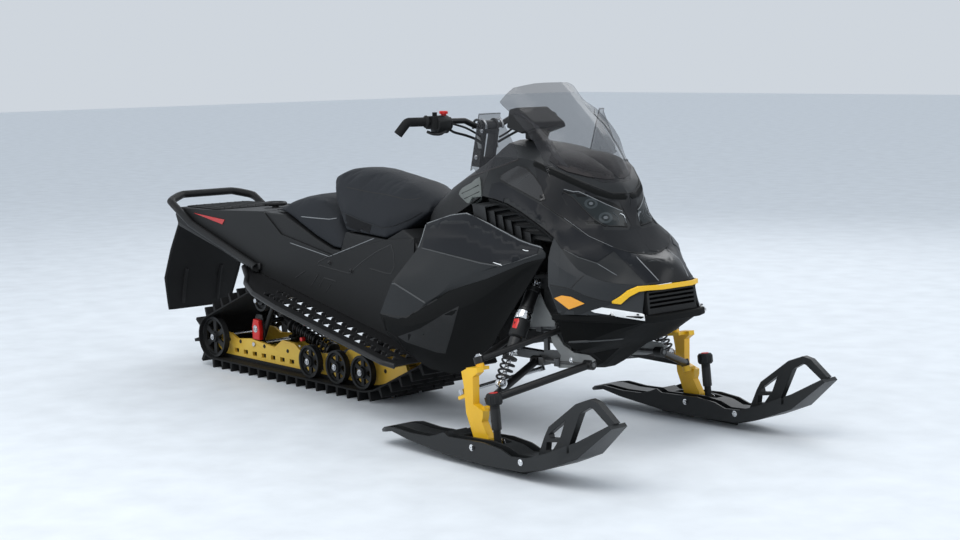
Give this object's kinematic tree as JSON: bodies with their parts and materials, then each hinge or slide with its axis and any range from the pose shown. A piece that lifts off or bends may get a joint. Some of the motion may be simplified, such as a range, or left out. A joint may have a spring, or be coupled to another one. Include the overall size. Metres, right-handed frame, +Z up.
{
  "type": "snowmobile",
  "caption": "Two-seat snowmobile with a rubber track, two steered skis, tinted windshield, black panels and yellow spindles.",
  "frame": {"origin": "on the ground under the middle of the vehicle", "axes": "+X forward towards the nose, +Y to the rider's left, +Z up"},
  "size_m": [3.324, 1.232, 1.294],
  "materials": {
    "black_plastic": "satin",
    "body_plastic": "satin",
    "rubber": "matte",
    "vinyl": "matte",
    "aluminium": "satin",
    "cast_aluminium": "cast",
    "black_metal": "painted satin",
    "steel": "plated",
    "yellow_paint": "painted gloss",
    "yellow_plastic": "satin",
    "smoke_screen": "clear tinted",
    "lamp_lens": "clear gloss",
    "red_lens": "gloss",
    "ski_plastic": "satin"
  },
  "bodies": {
    "root": {"track": "rubber", "track_wheels": "black_plastic", "skid_axles": "steel", "skid_rails": "yellow_paint", "rail_slides": "black_plastic", "skid_arms": "black_metal", "skid_shocks": "black_metal", "drive_axle": "black_plastic", "tunnel": "black_metal", "running_boards": "black_metal", "grab_bar": "black_plastic", "snow_flap": "rubber", "tail_cover": "black_plastic", "side_covers": "black_plastic", "side_reflectors": "red_lens", "driver_seat": "vinyl", "passenger_seat": "vinyl", "seat_base": "black_plastic", "console": "black_plastic", "gauge": "black_plastic", "hood": "body_plastic", "cheeks": "body_plastic", "grille": "black_plastic", "front_bumper": "black_plastic", "nose_trim": "yellow_plastic", "headlights": "lamp_lens", "belly_pan": "black_plastic", "side_panels": "body_plastic", "lower_panels": "body_plastic", "hood_louvres": "black_plastic", "windshield": "smoke_screen", "wind_deflectors": "smoke_screen", "engine": "cast_aluminium", "front_module": "cast_aluminium", "lower_arms": "black_metal", "upper_arms": "black_metal", "front_shocks": "steel"},
    "steering": {"steering_post": "black_metal", "handlebar": "black_metal", "hand_controls": "rubber"},
    "spindle_right": {"spindle_right": "yellow_paint"},
    "tie_rod_right": {"tie_rod_right": "steel"},
    "ski_right": {"ski_right": "ski_plastic", "ski_handle_right": "ski_plastic", "ski_adjuster_right": "black_plastic"},
    "spindle_left": {"spindle_left": "yellow_paint"},
    "tie_rod_left": {"tie_rod_left": "steel"},
    "ski_left": {"ski_left": "ski_plastic", "ski_handle_left": "ski_plastic", "ski_adjuster_left": "black_plastic"}
  },
  "joints": [
    {"name": "steer", "type": "hinge", "parent": "root", "child": "steering", "pos_m": [0.418, 0, 0.966], "axis": [-0.3746, 0, 0.9272], "range_deg": [-34, 34]},
    {"name": "kingpin_right", "type": "hinge", "parent": "root", "child": "spindle_right", "pos_m": [1.003, -0.5, 0.215], "axis": [-0.3821, 0, 0.9241], "range_deg": [-27.3, 27.3]},
    {"name": "tie_end_right", "type": "hinge", "parent": "spindle_right", "child": "tie_rod_right", "pos_m": [0.905, -0.54, 0.236], "axis": [-0.3821, 0, 0.9241], "range_deg": [-27.3, 27.3]},
    {"name": "ski_pitch_right", "type": "hinge", "parent": "spindle_right", "child": "ski_right", "pos_m": [1.04, -0.54, 0.072], "axis": [0, 1, 0], "range_deg": [-10, 12]},
    {"name": "kingpin_left", "type": "hinge", "parent": "root", "child": "spindle_left", "pos_m": [1.003, 0.5, 0.215], "axis": [-0.3821, 0, 0.9241], "range_deg": [-27.3, 27.3]},
    {"name": "tie_end_left", "type": "hinge", "parent": "spindle_left", "child": "tie_rod_left", "pos_m": [0.905, 0.54, 0.236], "axis": [-0.3821, 0, 0.9241], "range_deg": [-27.3, 27.3]},
    {"name": "ski_pitch_left", "type": "hinge", "parent": "spindle_left", "child": "ski_left", "pos_m": [1.04, 0.54, 0.072], "axis": [0, 1, 0], "range_deg": [-10, 12]}
  ],
  "couplings": [
    {"joint": "kingpin_right", "follows": "steer", "ratio": 0.8},
    {"joint": "tie_end_right", "follows": "steer", "ratio": -0.8},
    {"joint": "kingpin_left", "follows": "steer", "ratio": 0.8},
    {"joint": "tie_end_left", "follows": "steer", "ratio": -0.8}
  ]
}
